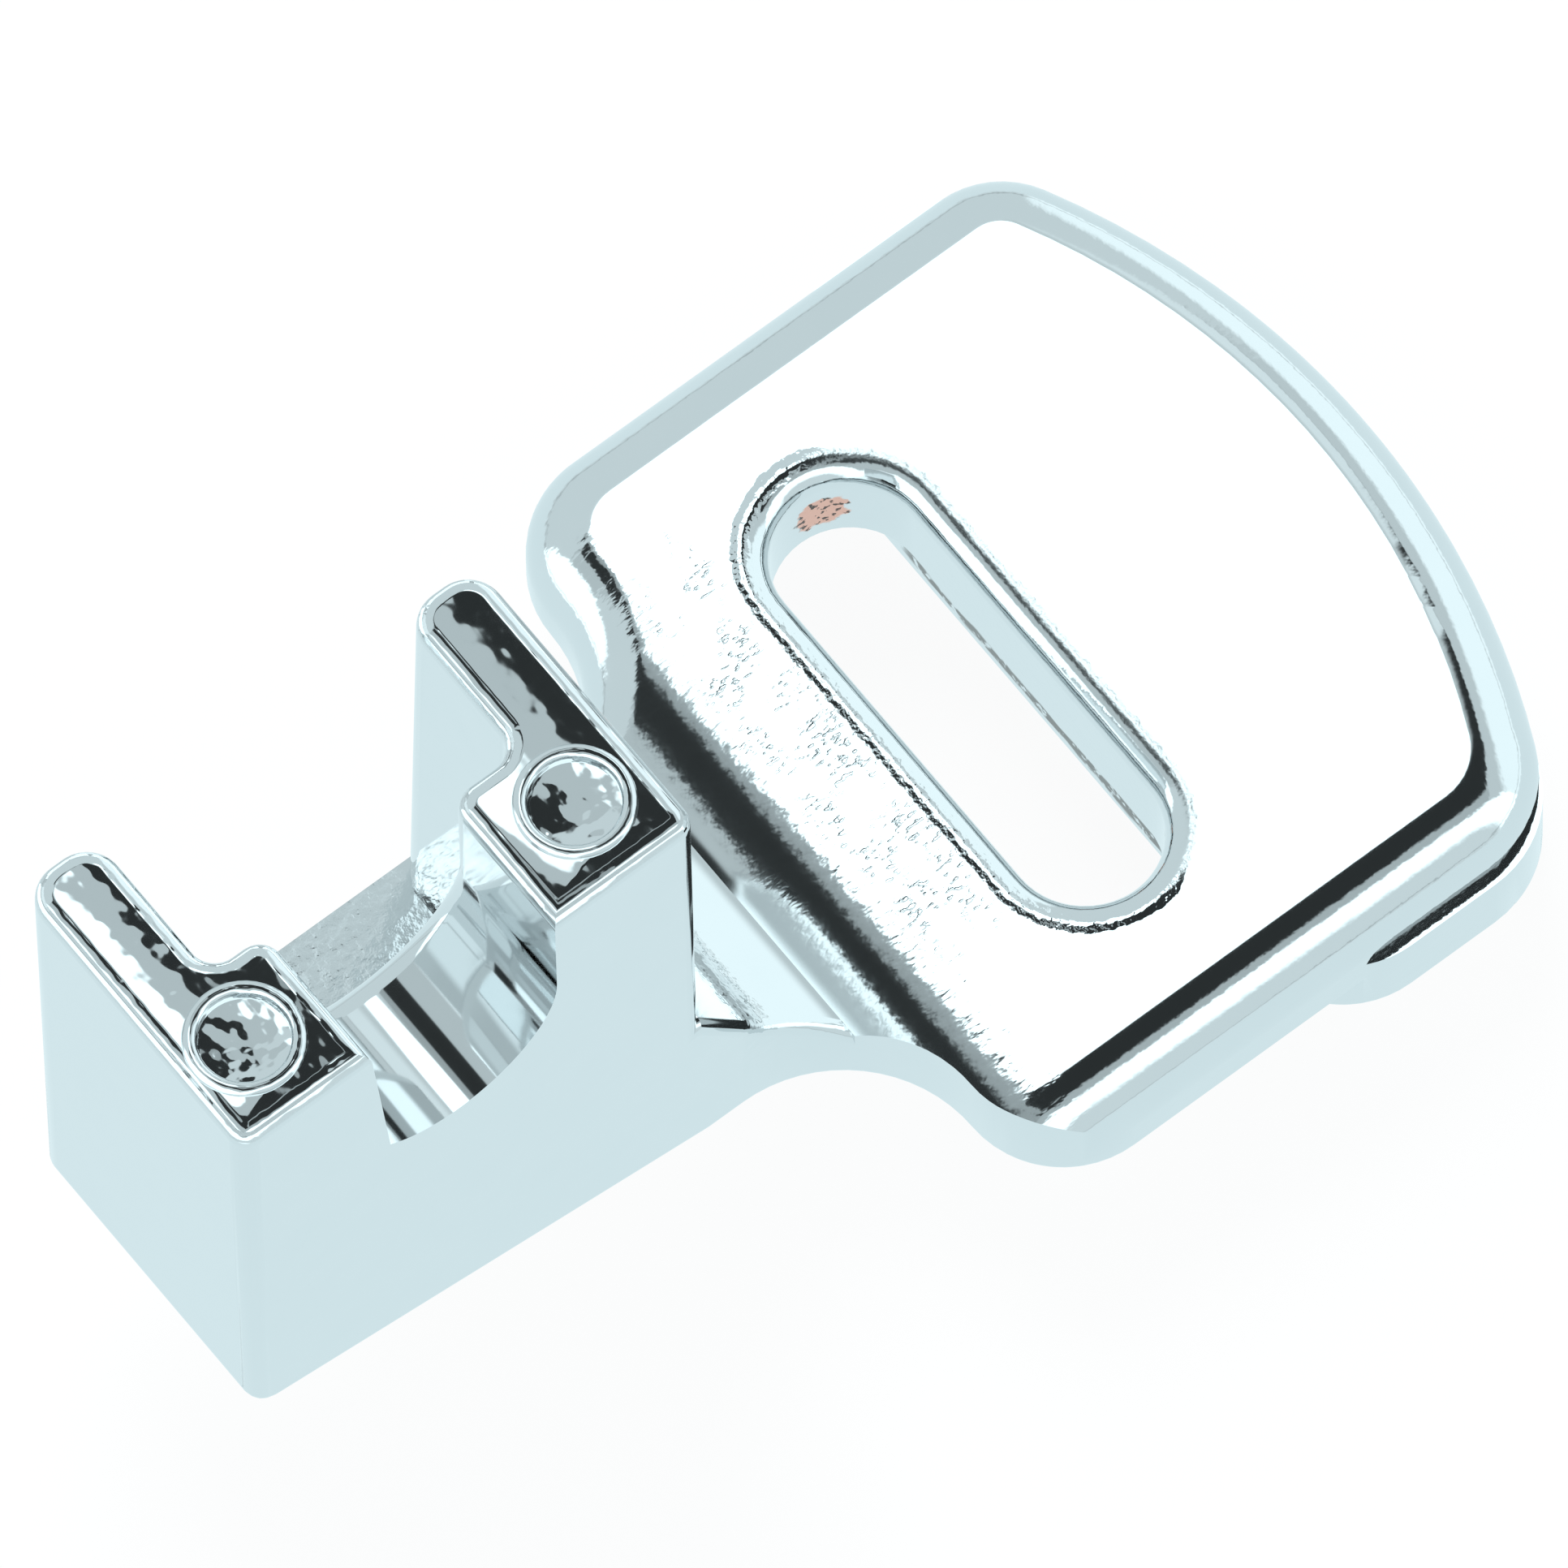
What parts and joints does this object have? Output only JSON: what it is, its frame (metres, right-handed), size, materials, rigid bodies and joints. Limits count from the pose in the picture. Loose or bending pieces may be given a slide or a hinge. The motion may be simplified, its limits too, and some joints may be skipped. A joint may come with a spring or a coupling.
{
  "type": "presser foot holder",
  "caption": "Chrome-plated cast holder: slotted screw plate, ramped neck and an upright forked block with a round-bottomed bar channel in front of an open pocket, for a sewing foot.",
  "frame": {"origin": "centre of the screw slot, level with the back of the pad that seats on the presser bar", "axes": "+X from the forked block to the far end of the screw plate, +Y across the width towards the open side of the pocket, +Z out of the plate's front face, the way the block stands"},
  "size_m": [0.0348, 0.021, 0.0187],
  "materials": {
    "holder": "bright chrome plate over a zinc die casting, with orange-peel casting skin on the leg tops and neck"
  },
  "bodies": {
    "root": {"holder": "holder"}
  },
  "joints": []
}
